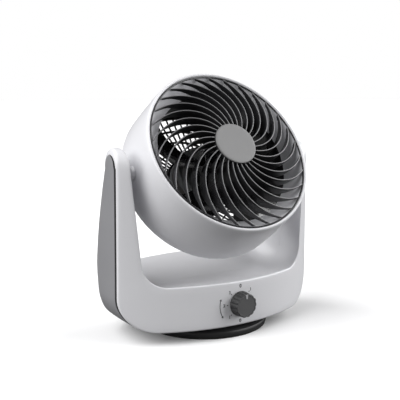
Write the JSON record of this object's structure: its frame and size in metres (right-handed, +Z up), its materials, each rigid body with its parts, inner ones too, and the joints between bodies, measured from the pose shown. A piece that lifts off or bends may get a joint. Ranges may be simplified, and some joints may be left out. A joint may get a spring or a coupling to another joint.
{
  "type": "desk air circulator",
  "caption": "Round fan head with a spiral-vaned front grille that tilts in a U-shaped yoke, which swings from side to side on a round foot under a front control knob.",
  "frame": {"origin": "centre of the foot's underside, on the floor and on the axis that the yoke swings about", "axes": "+Z up, the front with the knob faces -Y, +X to the right seen from the front"},
  "size_m": [0.323, 0.228, 0.3604],
  "materials": {
    "white_shell": "satin white",
    "silver_cover": "satin silver-grey lacquer",
    "charcoal_grille": "satin charcoal",
    "grey_hub": "fine-textured mid grey",
    "black_plastic": "gloss black",
    "knob_plastic": "matt dark grey",
    "foot_plastic": "satin black",
    "rubber": "matt black",
    "steel": "zinc plated",
    "laminations": "varnished steel sheets",
    "ballast": "painted",
    "bronze": "sintered",
    "nylon": "natural",
    "motor_case": "cast",
    "sheet_steel": "galvanised"
  },
  "bodies": {
    "foot": {"anti_slip_pad": "rubber", "foot_disc": "foot_plastic", "ballast_plate": "ballast", "swivel_post": "steel", "thrust_ring": "nylon", "retaining_ring": "steel", "oscillation_link": "nylon", "post_screw": "steel"},
    "yoke": {"yoke_front_shell": "white_shell", "yoke_rear_shell": "white_shell", "side_cover_left": "silver_cover", "side_cover_right": "silver_cover", "base_plate": "black_plastic", "cord_gland": "black_plastic", "shell_screw_1": "steel", "shell_screw_2": "steel", "shell_screw_3": "steel", "shell_screw_4": "steel", "oscillation_motor": "motor_case", "drive_bracket": "sheet_steel", "rotary_switch": "nylon", "tilt_bush_left": "nylon", "tilt_bush_right": "nylon", "tilt_washer_left": "nylon", "tilt_washer_right": "nylon"},
    "crank": {"crank_disc": "nylon"},
    "knob": {"control_knob": "knob_plastic", "switch_shaft": "steel"},
    "head": {"drum_shell": "white_shell", "rear_cover": "charcoal_grille", "air_duct": "black_plastic", "front_grille": "charcoal_grille", "hub_disc": "grey_hub", "motor_bracket": "black_plastic", "motor_front_bell": "motor_case", "motor_rear_bell": "motor_case", "stator_core": "laminations", "front_bearing": "bronze", "rear_bearing": "bronze", "trunnion_pin_left": "steel", "trunnion_pin_right": "steel"},
    "rotor": {"fan_blade": "black_plastic", "motor_shaft": "steel", "blade_nut": "black_plastic", "rotor_core": "laminations"}
  },
  "joints": [
    {"name": "yoke_swivel", "type": "hinge", "parent": "foot", "child": "yoke", "pos_m": [0, 0, 0.015], "axis": [0, 0, 1], "range_deg": [-30, 30]},
    {"name": "crank_turn", "type": "hinge", "parent": "yoke", "child": "crank", "pos_m": [0, 0.042, 0.033], "axis": [0, 0, 1], "range_deg": [-87.1, 87.1]},
    {"name": "knob_turn", "type": "hinge", "parent": "yoke", "child": "knob", "pos_m": [0, -0.0938, 0.048], "axis": [0, -1, 0], "continuous": true},
    {"name": "head_tilt", "type": "hinge", "parent": "yoke", "child": "head", "pos_m": [0, -0.022, 0.228], "axis": [1, 0, 0], "range_deg": [-56.3, 33.7]},
    {"name": "fan_spin", "type": "hinge", "parent": "head", "child": "rotor", "pos_m": [0, -0.022, 0.228], "axis": [0, -0.832, 0.5548], "continuous": true}
  ],
  "couplings": [
    {"joint": "crank_turn", "follows": "yoke_swivel", "ratio": -2.9}
  ]
}
